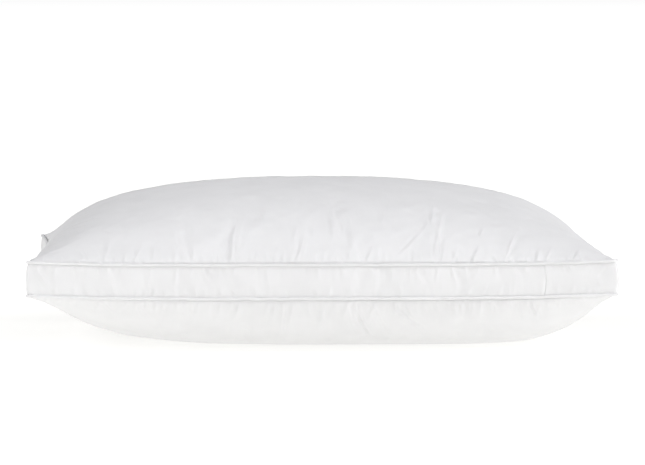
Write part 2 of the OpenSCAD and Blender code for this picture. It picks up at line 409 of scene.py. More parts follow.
def fold(distance, width):
    """The profile across a crease: a narrow ridge with a shallower valley beside it, on the other side
    where the width is negative."""
    ridge = np.exp(-((distance / width) ** 2))
    valley = np.exp(-(((distance - 1.7 * width) / (1.5 * width)) ** 2))
    return ridge - 0.7 * valley


def crease(x, y, start, end, height, width, bend=0.0):
    """The height of one crease at points x, y of the cloth: it runs from start to end, and fades out."""
    start, end = np.array(start), np.array(end)
    length = np.linalg.norm(end - start)
    along = (end - start) / length
    t = ((x - start[0]) * along[0] + (y - start[1]) * along[1]) / length
    side = (y - start[1]) * along[0] - (x - start[0]) * along[1] + bend * length * t * (1 - t)
    near = (t > -0.2) & (t < 1.2) & (np.abs(side) < 7 * abs(width))
    t, side = t[near], side[near]
    taper = np.clip((t + 0.12) / 0.35, 0, 1) * np.clip((1.15 - t) / 0.9, 0, 1)
    taper = taper * taper * (3 - 2 * taper)
    rise = np.zeros(x.shape)
    rise[near] = height * taper * fold(side, width * (0.65 + 0.9 * t.clip(0, 1)))
    return rise


# The clearest creases of the front side, in millimetres over the cloth: how far along the side from its
# middle, and how far from the seam. Each is (start, end, height, width), with its bend where it has one.
TOP_CREASES = [
    ((-262, 2), (-246, 58), 0.9, 3.4, 0.06),
    ((-226, 4), (-214, 28), 0.9, 2.2),
    ((-204, 2), (-198, 36), 0.7, 2.4, 0.05),
    ((-165, 6), (-174, 76), 1.3, -4.4, -0.05),
    ((-156, 3), (-153, 24), 0.7, 2.0),
    ((-132, 2), (-130, 30), 0.5, 2.2, 0.04),
    ((-110, 2), (-99, 84), 1.6, 2.2, 0.02),
    ((-103, 6), (-93, 76), 0.9, -1.9, 0.03),
    ((-79, 2), (-79, 24), 0.8, 1.8),
    ((-58, 2), (-62, 26), 0.5, 2.0),
    ((-34, 30), (-30, 62), 0.6, 2.4),
    ((-31, 4), (-20, 52), 1.3, 1.8, 0.12),
    ((-25, 3), (-16, 36), 0.8, -1.6, -0.10),
    ((-11, 38), (-10, 68), 0.6, 2.2),
    ((13, 40), (15, 122), 0.7, 3.0, 0.02),
    ((25, 44), (28, 80), 0.6, 2.4),
    ((30, 2), (34, 26), 0.5, 2.0),
    ((52, 2), (62, 26), 1.0, 2.0, 0.05),
    ((74, 54), (76, 124), 0.8, 5.0),
    ((89, 8), (131, 76), 1.1, 1.8, 0.22),
    ((131, 62), (136, 124), 0.8, 2.6),
    ((108, 2), (110, 24), 0.6, 1.8),
    ((135, 2), (146, 98), 1.5, -2.2, -0.04),
    ((142, 2), (146, 22), 0.8, 1.6),
    ((164, 2), (160, 24), 0.5, 2.0),
    ((180, 2), (188, 26), 0.9, 2.0),
    ((188, 44), (195, 66), 0.7, 2.0),
    ((219, 2), (236, 68), 1.5, -2.0, -0.04),
    ((244, 3), (250, 28), 0.6, 2.0),
    ((268, 2), (274, 28), 1.2, -1.8, 0.04),
    ((301, 4), (308, 26), 0.8, 1.8),
]
BOTTOM_CREASES = [
    ((-264, 4), (-240, 30), 0.6, 2.6),
    ((-220, 4), (-202, 34), 0.7, 2.6),
    ((-160, 3), (-150, 30), 0.6, 2.6),
    ((-100, 2), (-107, 28), 1.1, 2.2),
    ((-57, 4), (-61, 30), 0.7, 2.0),
    ((-48, 3), (-50, 66), 1.2, -2.2, 0.03),
    ((-36, 4), (-42, 44), 0.7, 2.2),
    ((2, 4), (-4, 36), 0.6, 2.4),
    ((30, 6), (52, 60), 1.0, -2.2, -0.04),
    ((38, 3), (67, 72), 1.2, 2.2, 0.04),
    ((62, 6), (82, 48), 0.8, 2.4, 0.05),
    ((82, 3), (127, 54), 1.4, -2.3, 0.08),
    ((99, 3), (112, 26), 0.9, 2.0),
    ((120, 2), (126, 20), 0.6, 2.0),
    ((156, 2), (162, 22), 0.9, 2.0, 0.04),
    ((180, 2), (178, 22), 0.7, 2.0),
    ((208, 2), (214, 20), 0.6, 2.0),
    ((250, 4), (263, 30), 1.4, 1.9),
    ((276, 2), (280, 20), 0.7, 2.0),
]
# The same on the gusset: how far along the front from its middle, and how far above the lower seam.
GUSSET_CREASES = [
    ((-316, 36), (-296, 12), 0.9, 2.2, 0.05),
    ((-312, 28), (-290, 3), 0.9, 2.2),
    ((-302, 36), (-284, 22), 0.6, 2.0),
    ((-252, 37), (-246, 22), 0.6, 2.0),
    ((-206, 1), (-202, 12), 0.6, 1.6),
    ((-196, 1), (-193, 11), 0.6, 1.5),
    ((-186, 1), (-182, 14), 0.6, 1.6),
    ((-174, 1), (-170, 10), 0.5, 1.5),
    ((-160, 36), (-162, 10), 0.7, 1.8),
    ((-134, 36), (-120, 13), 1.1, 1.6, 0.10),
    ((-126, 36), (-122, 24), 0.6, 1.5),
    ((-76, 37), (-74, 22), 0.5, 1.6),
    ((-20, 37), (-24, 26), 0.4, 1.6),
    ((52, 36), (60, 20), 0.6, 1.8),
    ((66, 1), (60, 12), 0.5, 1.8),
    ((98, 35), (112, 13), 0.9, 1.6, 0.05),
    ((141, 37), (149, 6), 1.1, 1.8),
    ((156, 37), (160, 15), 0.7, 1.6),
    ((191, 36), (188, 20), 0.7, 1.6),
    ((206, 1), (202, 14), 0.5, 1.8),
    ((262, 36), (270, 14), 0.6, 2.0),
    ((312, 34), (292, 16), 0.8, 2.2),
    ((312, 8), (288, 22), 0.7, 2.2),
]
# All the heights above are multiplied by this.
CREASE_GAIN = 1.25


def small_creases(x, y, sides, seed):
    """Many small creases that start at the cloth's sewn edges. Each side is (horizontal or not, its place
    across, the direction into the cloth, half its length, how many, their share of the full height)."""
    random = np.random.default_rng(seed)
    rise = np.zeros(x.shape)
    for horizontal, edge, inward, half, count, share in sides:
        places = np.linspace(-0.94, 0.94, count) * half + random.uniform(-5, 5, count) * MM
        for place in places:
            lean, length = random.normal(0, 0.28), random.uniform(8, 32) * MM
            height, width = share * random.uniform(0.25, 0.85) * MM, random.uniform(1.5, 2.8) * MM
            width *= random.choice((-1, 1))
            bend = random.uniform(-0.08, 0.08)
            start = np.array([place, edge + inward * MM])
            end = start + length * np.array([math.sin(lean), inward * math.cos(lean)])
            if not horizontal:
                start, end = start[::-1], end[::-1]
            rise += crease(x, y, start, end, height, width, bend)
    return rise


def chosen_creases(x, y, chosen, edge):
    """The clearest creases, from the sewn edge at y = edge into the cloth."""
    rise = np.zeros(x.shape)
    for (x0, y0), (x1, y1), height, width, *bend in chosen:
        start, end = (x0 * MM, edge + y0 * MM), (x1 * MM, edge + y1 * MM)
        rise += crease(x, y, start, end, CREASE_GAIN * height * MM, width * MM, *bend)
    return rise


def puckers(place, inset, seed, height, wave, reach):
    """Small swells right beside a seam, where its stitches gather the cloth."""
    gathered = lattice_noise(place / wave, 0 * place, seed)
    gathered += 0.5 * lattice_noise(place / wave * 2.3, 0 * place + 5, seed)
    return height * gathered * (inset / reach) * np.exp(1 - inset / reach)


# -------------------- making pieces


def grid_of(rows, across, along, closed=False, rolled=False):
    """Points, faces and the faces' places on the flat cloth, from rows of points. closed joins the rows'
    ends, and rolled joins the last row to the first."""
    rows = np.asarray(rows)
    number = np.arange(rows.shape[0] * rows.shape[1]).reshape(rows.shape[:2])
    if closed:
        number = np.concatenate([number, number[:, :1]], 1)
    if rolled:
        number = np.concatenate([number, number[:1]], 0)
    places = np.stack(np.broadcast_arrays(np.asarray(along)[None, :], np.asarray(across)[:, None]), -1)

    def corners(a):
        four = (a[:-1, :-1], a[:-1, 1:], a[1:, 1:], a[1:, :-1])
        return np.stack([c.reshape((-1,) + a.shape[2:]) for c in four], 1)

    return rows.reshape(-1, 3), corners(number), corners(places)


def joined(parts):
    """Several grids as one mesh."""
    starts = np.cumsum([0] + [len(p[0]) for p in parts])
    faces = [p[1] + start for p, start in zip(parts, starts)]
    return np.concatenate([p[0] for p in parts]), np.concatenate(faces), np.concatenate([p[2] for p in parts])


def make_piece(name, mesh, material, replaces, body="pillow"):
    """A piece of the pillow, with its places on the flat cloth, in metres, as a UV map."""
    points, faces, places = mesh
    piece = mesh_object(name, points, faces)
    piece.data.uv_layers.new(name="Cloth").data.foreach_set("uv", places.astype(np.float32).ravel())
    piece.data.polygons.foreach_set("use_smooth", np.ones(len(faces), bool))
    piece.data.materials.append(material)
    if body:
        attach(piece, body)
    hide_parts(*replaces)
    return piece


def tube(path, radius, sides, turn_with=None, closed=True):
    """A round tube along a path of points."""
    path = np.asarray(path)
    if closed:
        along = unit(np.roll(path, -1, 0) - np.roll(path, 1, 0))
    else:
        along = unit(np.gradient(path, axis=0))
    across = unit(np.cross(along, [0, 0, 1] if turn_with is None else turn_with))
    other = np.cross(across, along)
    angles = np.arange(sides) * 2 * math.pi / sides
    rows = [path + radius * (math.cos(a) * across + math.sin(a) * other) for a in angles]
    steps = np.linalg.norm(np.roll(path, -1, 0) - path, axis=1)
    length = np.concatenate([[0], np.cumsum(steps)])
    length = length if closed else length[:-1]
    return grid_of(rows, radius * np.linspace(0, 2 * math.pi, sides + 1), length, closed, True)


# -------------------- the two panels

EDGE_DIP = 2.2 * MM
# Height, length and reach of the swells beside the stitches.
PANEL_PUCKERS = (0.7 * MM, 11 * MM, 6 * MM)
# The unevenness of the fill under the cloth: height, and length both ways.
LUMPS = [(0.30 * MM, 26 * MM, 26 * MM), (0.12 * MM, 9 * MM, 11 * MM)]
# Under this height the bottom panel lies flat on what is beneath it.
FLAT_FROM, FREE_FROM = 0.5 * MM, 9 * MM
SKIN = 0.2 * MM


def panel_points(up):
    """A panel's cloth, from seam to seam, as a grid of points, and their places on the flat cut."""
    base = (top_face if up else bottom_face)(PANEL_U, PANEL_V)
    points = base + (top_moved if up else bottom_moved)
    x, y = flat_cut(PANEL_U, PANEL_V)
    half_l, half_w = CUT_L / 2, CUT_W / 2
    sides = [
        (True, -half_w, 1, half_l, 56, 1.3),
        (True, half_w, -1, half_l, 56, 1.3),
        (False, -half_l, 1, half_w, 38, 1.3),
        (False, half_l, -1, half_w, 38, 1.3),
    ]
    rise = chosen_creases(x, y, TOP_CREASES if up else BOTTOM_CREASES, -half_w)
    rise += small_creases(x, y, sides, SEED + up)
    inset_x, inset_y = half_l - np.abs(x), half_w - np.abs(y)
    rise += puckers(x + 3 * np.sign(y), inset_y, SEED + 10 + up, *PANEL_PUCKERS)
    rise += puckers(y + 3 * np.sign(x) + 9, inset_x, SEED + 20 + up, *PANEL_PUCKERS)
    inset = np.minimum(inset_x, inset_y)
    rise *= np.clip(inset / (3 * MM), 0, 1)
    for k, (height, long, wide) in enumerate(LUMPS):
        rise += height * lattice_noise(x / long + 7, y / wide + 7, SEED + 30 + 2 * k + up)
    points = points + surface_normals(points) * (rise if up else -rise)[..., None]
    # Beside the piping the cloth dips in to its fold.
    for axis, axis_inset in ((0, inset_x), (1, inset_y)):
        points[..., axis] += np.sign(base[..., axis]) * FOLD_OUT * np.exp(-((axis_inset / EDGE_DIP) ** 2))
    points[..., 2] += (LAYER if up else -LAYER) * np.exp(-((inset / (2 * MM)) ** 2))
    if not up:
        free = np.clip((base[..., 2] - FLAT_FROM) / FREE_FROM, 0, 1)
        points[..., 2] = np.maximum(base[..., 2] + free * (points[..., 2] - base[..., 2]), SKIN)
    return points, np.stack([x, y], -1)


def panel(up, material):
    """A panel with its seam allowance folded in under it."""
    level, side = ("upper", 1) if up else ("lower", -1)
    points, places = panel_points(up)
    count = points.shape[0] * points.shape[1]
    rings, ring_places = [RIM], [places.reshape(-1, 2)]
    all_points = [points.reshape(-1, 3)]
    for k, ring_share in enumerate(ALLOWANCE_RINGS):
        out = -ALLOWANCE * ring_share
        all_points.append(beside_seam(level, out, side * LAYER))
        rings.append(count + k * RING + np.arange(RING))
        ring_places.append(places.reshape(-1, 2)[RIM] * (1 - out / HALF))
    rings = rings[::-1] if up else rings
    faces = np.concatenate([grid_faces(FINE_LONG, FINE_WIDE, up), ring_faces(rings)])
    mesh = np.concatenate(all_points), faces, np.concatenate(ring_places)[faces]
    name = "top_panel" if up else "bottom_panel"
    piece = make_piece(name + "_cloth", mesh, material, [name])
    return piece


# -------------------- the gusset

WALL_ROWS = 18
GUSSET_PUCKERS = (0.5 * MM, 9 * MM, 4 * MM)
join_low, join_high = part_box("gusset_join_thread")
FRONT = slice(0, FINE_LONG + 1)
BACK = slice(FINE_LONG + FINE_WIDE, 2 * FINE_LONG + FINE_WIDE)
JOIN_AT, FRONT_MIDDLE = np.interp([(join_low.x + join_high.x) / 2, 0], RING_PLAN[FRONT, 0], RING_AT[FRONT])
JOIN_GAP = 0.04 * MM
# How far its two ends are folded in.
FLAP = 8 * MM


def gusset(material):
    """One strip round all four sides. Its ends meet in a flat seam, with their allowances folded in."""
    near = np.array([0, 0.3, 0.7, 1.2, 1.8, 2.6]) * MM + JOIN_GAP
    past = (RING_AT - JOIN_AT) % RING_LENGTH
    middle = np.sort(past[(past > near[-1] + MM) & (past < RING_LENGTH - near[-1] - MM)])
    past = np.concatenate([near, middle, RING_LENGTH - near[::-1]])
    at = JOIN_AT + past
    shares = spread(np.linspace(-1, 1, WALL_ROWS + 1), 0.5) / 2 + 0.5
    weights = cubic_weights(SIM_WALL, shares)
    moved = np.einsum("rs,snk->rnk", weights, wall_moved)
    rows = np.stack([ring_at(wall_face(RING_U, RING_V, share) + m, at) for share, m in zip(shares, moved)])
    out = ring_at(RING_OUT, at)
    x, y = np.broadcast_arrays((at - FRONT_MIDDLE)[None, :], shares[:, None] * GUSSET_H)
    # Places along the strip, measured from the front's middle both ways.
    x = (x + RING_LENGTH / 2) % RING_LENGTH - RING_LENGTH / 2
    sides = [
        (True, 0.0, 1, RING_LENGTH / 2, 130, 0.8),
        (True, GUSSET_H, -1, RING_LENGTH / 2, 130, 0.8),
    ]
    rise = chosen_creases(x, y, GUSSET_CREASES, 0.0) + small_creases(x, y, sides, SEED + 2)
    inset = np.minimum(y, GUSSET_H - y)
    rise += puckers(x + 0.4 * y, inset, SEED + 40, *GUSSET_PUCKERS)
    rise *= np.clip(inset / (3 * MM), 0, 1)
    from_join = np.minimum(past, RING_LENGTH - past)
    for edge, share in ((y, 0.4), (GUSSET_H - y, 0.9)):
        rise += share * FOLD_OUT * np.exp(-((edge / (1.8 * MM)) ** 2))
    rise += 0.4 * MM * (np.exp(-((from_join / (5 * MM)) ** 2)) - 2 * np.exp(-((from_join / (1.1 * MM)) ** 2)))
    rows = rows + rise[..., None] * out
    rows[..., 2] += LAYER * (np.exp(-((y / (2 * MM)) ** 2)) - np.exp(-(((GUSSET_H - y) / (2 * MM)) ** 2)))
    ends = []
    for level, side in (("lower", 1), ("upper", -1)):
        for ring_share in ALLOWANCE_RINGS[::-1]:
            ends.append(ring_at(beside_seam(level, -ring_share * ALLOWANCE, side * LAYER), at))
    rows = np.concatenate([ends[:2], rows, ends[:1:-1]])
    folded = ALLOWANCE * np.array(ALLOWANCE_RINGS)
    heights = np.concatenate([-folded[::-1], shares * GUSSET_H, GUSSET_H + folded])
    # The allowances at the two ends run straight in from the join.
    flaps = [rows[:, side : side + 1] - out[side] * depth for side, depth in ((0, FLAP), (0, FLAP / 2))]
    more = [rows[:, -1:] - out[-1] * depth for depth in (FLAP / 2, FLAP)]
    rows = np.concatenate(flaps + [rows] + more, 1)
    along = np.concatenate([[-FLAP, -FLAP / 2], past, RING_LENGTH + np.array([0.5, 1]) * FLAP])
    piece = make_piece("gusset_cloth", grid_of(rows, heights, along), material, ["gusset_strip"])
    return piece


# -------------------- piping, cords and threads

CORD_R = 1.0 * MM
COVER_CLOTH = 0.15 * MM
FLANGE_OUT = -2.6 * MM
STITCH = 3.2 * MM
SEAM_THREAD_OUT = -4 * MM
CLOSING_OUT = -2.8 * MM
JOIN_THREAD_OUT = -2.6 * MM
THREAD_R = 0.16 * MM


def piping_cover(level, material):
    """A strip of cloth wrapped round the cord. Its two edges run flat into the seam."""
    edges = [-ALLOWANCE * ring_share for ring_share in ALLOWANCE_RINGS[::-1]] + [FLANGE_OUT]
    turns = np.radians(np.linspace(-165, 165, 21))
    section = [(out, -COVER_CLOTH) for out in edges]
    section += [(PIPING_OUT + PIPING_R * math.cos(turn), PIPING_R * math.sin(turn)) for turn in turns]
    section += [(out, COVER_CLOTH) for out in edges[::-1]]
    widths = np.concatenate([[0], np.cumsum([math.dist(a, b) for a, b in zip(section, section[1:])])])
    slow = lattice_noise(RING_AT / (32 * MM), 0 * RING_AT + 3, SEED + 51 + LEVELS[level][1])
    wave = 0.15 * MM * slow[:, None] * RING_OUT
    rows = []
    for (out, up), width in zip(section, widths):
        across = 0 * RING_AT + width / (3 * MM)
        tight = lattice_noise(RING_AT / (7 * MM) + width / (2 * MM), across, SEED + 50)
        away = RING_OUT * (out - PIPING_OUT) / PIPING_R + np.array([0, 0, up / PIPING_R])
        wrinkles = 0.10 * MM * tight[:, None] * away
        ring = beside_seam(level, out, up)
        rows.append(ring + wrinkles + wave if out > FLANGE_OUT else ring)
    along = np.concatenate([RING_AT, [RING_LENGTH]])
    node = level + "_piping_cover"
    mesh = grid_of(rows, widths, along, True)
    piece = make_piece(node + "_cloth", mesh, material, [node])
    return piece


def piping_cord(level, material):
    """The cord inside the piping: three strands twisted round each other."""
    turns = round(RING_LENGTH / (9 * MM))
    at = np.arange(turns * 10) * RING_LENGTH / (turns * 10)
    middle = ring_at(beside_seam(level, PIPING_OUT, 0), at)
    out = ring_at(RING_OUT, at)
    strands = []
    for strand in range(3):
        angle = (at / RING_LENGTH * turns + strand / 3) * 2 * math.pi
        aside = 0.5 * CORD_R * (np.cos(angle)[:, None] * out + np.sin(angle)[:, None] * np.array([0, 0, 1]))
        strands.append(tube(middle + aside, 0.5 * CORD_R, 6))
    node = level + "_piping_cord"
    return make_piece(level + "_piping_twist", joined(strands), material, [node])


def lockstitch(middle, across, depth):
    """Two threads along a path, one on each face of the layers, that loop round each other at each stitch."""
    lengths = np.concatenate([[0], np.cumsum(np.linalg.norm(np.diff(middle, axis=0), axis=1))])
    bow_out = np.abs(np.sin(math.pi * lengths / STITCH))[:, None] ** 0.4
    return [middle + side * across * (0.1 * depth + 0.9 * depth * bow_out) for side in (1, -1)]


def stitched(level, out, start, length, closed):
    count = round(length / STITCH) * 4
    at = start + np.arange(count + (not closed)) * length / count
    middle = ring_at(beside_seam(level, out, 0), at)
    paths = lockstitch(middle, np.array([0, 0, 1.0]), 2.4 * LAYER)
    return joined([tube(path, THREAD_R, 4, closed=closed) for path in paths])


def threads(material):
    """The rows of stitches that hold the seams, the join in the gusset and the closed opening."""
    for level in LEVELS:
        node = level + "_seam_thread"
        mesh = stitched(level, SEAM_THREAD_OUT, 0, RING_LENGTH, True)
        make_piece(level + "_seam_stitches", mesh, material, [node])
    low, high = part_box("closing_thread")
    start, end = np.interp([-high.x, -low.x], -RING_PLAN[BACK, 0], RING_AT[BACK])
    mesh = stitched("lower", CLOSING_OUT, start, end - start, False)
    make_piece("closing_stitches", mesh, material, ["closing_thread"])
    heights = np.linspace(join_low.z, join_high.z, round((join_high.z - join_low.z) / STITCH) * 4 + 1)
    join = ring_at(beside_seam("lower", JOIN_THREAD_OUT, 0), np.array([JOIN_AT]))[0]
    middle = np.stack([np.full(len(heights), join[0]), np.full(len(heights), join[1]), heights], -1)
    paths = lockstitch(middle, np.array([1.0, 0, 0]), JOIN_GAP + 0.4 * MM)
    mesh = joined([tube(path, THREAD_R, 4, [0, 1, 0], closed=False) for path in paths])
    make_piece("gusset_join_stitches", mesh, material, ["gusset_join_thread"])


# -------------------- the fill

FILL_LONG, FILL_WIDE = 120, 92
FILL_GAP = 6 * MM


def fill(material):
    """The fibre fill: a lumpy body that keeps a little inside the cover."""
    u, v = grid(FILL_LONG, FILL_WIDE)
    u, v = u * (1 - 1.4 * FILL_GAP / HALF_L), v * (1 - 1.4 * FILL_GAP / HALF_W)
    top, bottom = top_face(u, v), bottom_face(u, v)
    lumps = [
        1.6 * lattice_noise(u * HALF_L / (18 * MM), v * HALF_W / (18 * MM), SEED + 60 + k)
        + 0.8 * lattice_noise(u * HALF_L / (6 * MM), v * HALF_W / (6 * MM), SEED + 62 + k)
        for k in range(2)
    ]
    room = np.minimum(1, (1 - np.maximum(np.abs(u), np.abs(v))) * 12)
    top[..., 2] -= FILL_GAP - room * lumps[0] * MM
    bottom[..., 2] += FILL_GAP + room * lumps[1] * MM
    around = rim(FILL_LONG, FILL_WIDE)
    high, low = top.reshape(-1, 3)[around], bottom.reshape(-1, 3)[around]
    count = u.size
    wall = [low + (high - low) * share for share in (0.25, 0.5, 0.75)]
    rings = [count + around]
    rings += [2 * count + k * len(around) + np.arange(len(around)) for k in range(len(wall))]
    rings += [around]
    points = np.concatenate([top.reshape(-1, 3), bottom.reshape(-1, 3)] + wall)
    up_faces = grid_faces(FILL_LONG, FILL_WIDE, True)
    down_faces = count + grid_faces(FILL_LONG, FILL_WIDE, False)
    faces = np.concatenate([up_faces, down_faces, ring_faces(rings)])
    piece = make_piece("fibre_fill", (points, faces, points[:, :2][faces]), material, ["fill"])
    return piece


# -------------------- the care label

LABEL_COLS, LABEL_ROWS = 28, 45
# Its sewn edge runs out between the allowances here, and then round the piping with this much room.
LABEL_SEWN = (-9 * MM, -6 * MM, -3.6 * MM)
LABEL_ROOM = 0.35 * MM
# How far its free end curls out, and how deep its ripples are.
LABEL_CURL, LABEL_RIPPLE = 4 * MM, 0.6 * MM


def care_label(material):
    """A plain satin label. It is caught in the lower seam at the back and hangs from under the piping."""
    low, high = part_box("care_label")
    hinge = Vector(next(j for j in frame["joints"] if j["name"] == "label_swing")["pos_m"])
    width, length, thick = high.x - low.x, hinge.z - low.z, (high.y - low.y)
    x = np.linspace(high.x, low.x, LABEL_COLS + 1)
    at = np.interp(-x, -RING_PLAN[BACK, 0], RING_AT[BACK])
    shift = ring_at(wall_moved[0], at)
    rows = [ring_at(beside_seam("lower", out, -1.6 * LAYER), at) for out in LABEL_SEWN]
    wrap = PIPING_R + LABEL_ROOM
    for angle in np.linspace(195, 285, 9):
        turn = math.radians(angle)
        out, up = PIPING_OUT + wrap * math.cos(turn), wrap * math.sin(turn)
        rows.append(ring_at(beside_seam("lower", out, up), at))
    rows = np.stack(rows)
    last = rows[-1]
    hang = np.linspace(0, 1, LABEL_ROWS + 1)[1:, None]
    curl = LABEL_CURL * hang**2 * (1 + 0.5 * np.sin(3 * x / width))[None, :]
    ripple = LABEL_RIPPLE * np.sin(hang * 7 + x[None, :] / width * 5) * hang
    straight = hinge.y + shift[:, 1] * (1 - hang) ** 2 + (last[:, 1] - hinge.y) * (1 - hang) ** 4
    free = np.stack(
        [
            np.broadcast_to(x, (len(hang), len(x))),
            straight + curl + ripple,
            last[:, 2] + (low.z + 0.5 * MM - last[:, 2]) * hang,
        ],
        -1,
    )
    sheet = np.concatenate([rows, free])
    steps = np.linalg.norm(np.diff(sheet[:, LABEL_COLS // 2], axis=0), axis=1)
    down = np.concatenate([[0], np.cumsum(steps)])
    normals = surface_normals(sheet) * thick / 2
    sides = [grid_of(sheet + normals, down, x), grid_of((sheet - normals)[:, ::-1], down, x[::-1])]
    border = rim(len(sheet) - 1, LABEL_COLS)
    edge = np.stack([(sheet + side * normals).reshape(-1, 3)[border] for side in (-1, 1)])
    around = np.arange(len(border) + 1) * MM
    sides.append(grid_of(edge, [0, thick], around, True))
    nodes = ["label_tab", "care_label"]
    piece = make_piece("satin_label", joined(sides), material, nodes, body=None)
    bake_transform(piece)
    return piece


# -------------------- materials


def new_material(name, colour, roughness):
    material = bpy.data.materials.new(name)
    material.use_nodes = True
    nodes, links = material.node_tree.nodes, material.node_tree.links
    shader = nodes["Principled BSDF"]
    shader.inputs["Base Color"].default_value = (*colour, 1)
    shader.inputs["Roughness"].default_value = roughness
    return material, nodes, links, shader


def math_node(nodes, links, operation, *inputs):
    node = nodes.new("ShaderNodeMath")
    node.operation = operation
    for socket, value in zip(node.inputs, inputs):
        if isinstance(value, (int, float)):
            socket.default_value = value
        else:
            links.new(value, socket)
    return node.outputs[0]


def stretched_noise(nodes, links, vector, scale, detail=2.0):
    """Noise with its own scale along each axis of vector."""
    mapping = nodes.new("ShaderNodeMapping")
    mapping.inputs["Scale"].default_value = scale
    links.new(vector, mapping.inputs["Vector"])
    noise = nodes.new("ShaderNodeTexNoise")
    noise.inputs["Scale"].default_value = 1
    noise.inputs["Detail"].default_value = detail
    links.new(mapping.outputs[0], noise.inputs["Vector"])
    return noise.outputs["Fac"]


def cloth_place(nodes, links, turn=0.0):
    """Where a point lies on the flat cloth, in metres, turned about the cloth's normal."""
    place = nodes.new("ShaderNodeUVMap")
    place.uv_map = "Cloth"
    mapping = nodes.new("ShaderNodeMapping")
    mapping.inputs["Rotation"].default_value = (0, 0, turn)
    links.new(place.outputs[0], mapping.inputs["Vector"])
    return mapping.outputs[0]


def tinted(nodes, links, shader, colours, share):
    """Lets the colour wander between two shades."""
    ramp = nodes.new("ShaderNodeValToRGB")
    for element, colour, position in zip(ramp.color_ramp.elements, colours, (0.3, 0.7)):
        element.color = (*colour, 1)
        element.position = position
    links.new(share, ramp.inputs["Fac"])
    links.new(ramp.outputs["Color"], shader.inputs["Base Color"])


def bumped(nodes, links, shader, height, strength, distance):
    bump = nodes.new("ShaderNodeBump")
    bump.inputs["Strength"].default_value = strength
    bump.inputs["Distance"].default_value = distance
    links.new(height, bump.inputs["Height"])
    links.new(bump.outputs[0], shader.inputs["Normal"])


def woven(name, colours, thread, turn=0.0):
    """Plain-woven cotton: over-and-under threads, thicker threads here and there, and faint mottling."""
    material, nodes, links, shader = new_material(name, colours[0], 0.85)
    shader.inputs["Sheen Weight"].default_value = 0.2
    shader.inputs["Sheen Roughness"].default_value = 0.5
    shader.inputs["Specular IOR Level"].default_value = 0.25
    place = cloth_place(nodes, links, turn)
    split = nodes.new("ShaderNodeSeparateXYZ")
    links.new(place, split.inputs[0])
    pitch = math.pi / thread
    warp = math_node(nodes, links, "SINE", math_node(nodes, links, "MULTIPLY", split.outputs["X"], pitch))
    weft = math_node(nodes, links, "SINE", math_node(nodes, links, "MULTIPLY", split.outputs["Y"], pitch))
    weave = math_node(nodes, links, "MULTIPLY", warp, weft)
    slubs = [
        stretched_noise(nodes, links, place, scale)
        for scale in ((60, 1 / thread / 3, 1), (1 / thread / 3, 60, 1))
    ]
    slub = math_node(nodes, links, "ADD", *slubs)
    height = math_node(nodes, links, "MULTIPLY_ADD", slub, 2.2, weave)
    soft = stretched_noise(nodes, links, place, (150, 150, 1), 3.0)
    height = math_node(nodes, links, "MULTIPLY_ADD", soft, 1.5, height)
    bumped(nodes, links, shader, height, 0.25, 0.12 * MM)
    cloudy = math_node(nodes, links, "MULTIPLY", stretched_noise(nodes, links, place, (22, 30, 1), 4.0), 0.82)
    mottle = math_node(nodes, links, "MULTIPLY_ADD", slub, 0.18, cloudy)
    tinted(nodes, links, shader, colours, mottle)
    return material


def spun(name, colours, pitch):
    """Twisted yarn: slanting plies along a cord or thread, with painted shade in the grooves between them."""
    material, nodes, links, shader = new_material(name, colours[0], 0.8)
    shader.inputs["Sheen Weight"].default_value = 0.3
    place = cloth_place(nodes, links, 0.7)
    split = nodes.new("ShaderNodeSeparateXYZ")
    links.new(place, split.inputs[0])
    angle = math_node(nodes, links, "MULTIPLY", split.outputs["X"], 2 * math.pi / pitch)
    plies = math_node(nodes, links, "ABSOLUTE", math_node(nodes, links, "SINE", angle))
    fuzz = stretched_noise(nodes, links, place, (900, 2500, 1), 3.0)
    height = math_node(nodes, links, "MULTIPLY_ADD", fuzz, 0.6, plies)
    bumped(nodes, links, shader, height, 0.5, 0.1 * MM)
    # The colour follows the plies' height, so the grooves between them are darker: painted shade.
    tinted(nodes, links, shader, colours, math_node(nodes, links, "MULTIPLY", height, 0.6))
    return material


def fibre(name, colours):
    """Loose polyester fibre: fine crossing strands in soft clumps, with painted shade in the hollows between
    the clumps.
    """
    material, nodes, links, shader = new_material(name, colours[0], 0.9)
    shader.inputs["Sheen Weight"].default_value = 0.5
    place = cloth_place(nodes, links)
    strands = [
        stretched_noise(nodes, links, cloth_place(nodes, links, turn), (60, 1600, 1), 4.0)
        for turn in (0.4, 1.7, 2.8)
    ]
    crossed = math_node(nodes, links, "MAXIMUM", math_node(nodes, links, "MAXIMUM", *strands[:2]), strands[2])
    clumps = stretched_noise(nodes, links, place, (70, 70, 1), 3.0)
    height = math_node(nodes, links, "MULTIPLY_ADD", clumps, 2.0, crossed)
    bumped(nodes, links, shader, height, 0.7, 0.8 * MM)
    # The colour follows the clumps' height, so the hollows between them are darker: painted shade.
    tinted(nodes, links, shader, colours, clumps)
    return material


def satin(name, colours):
    """Satin ribbon: long floats across its width, with a soft gloss, and painted shade in the dips of its
    soft waves.
    """
    material, nodes, links, shader = new_material(name, colours[0], 0.45)
    shader.inputs["Anisotropic"].default_value = 0.6
    shader.inputs["Sheen Weight"].default_value = 0.1
    place = cloth_place(nodes, links)
    floats = stretched_noise(nodes, links, place, (5200, 420, 1), 2.0)
    soft = stretched_noise(nodes, links, place, (180, 90, 1), 3.0)
    height = math_node(nodes, links, "MULTIPLY_ADD", soft, 2.0, floats)
    bumped(nodes, links, shader, height, 0.25, 0.08 * MM)
    # The colour follows the soft waves' height, so their dips are darker: painted shade.
    tinted(nodes, links, shader, colours, soft)
    return material


# -------------------- camera, floor and light


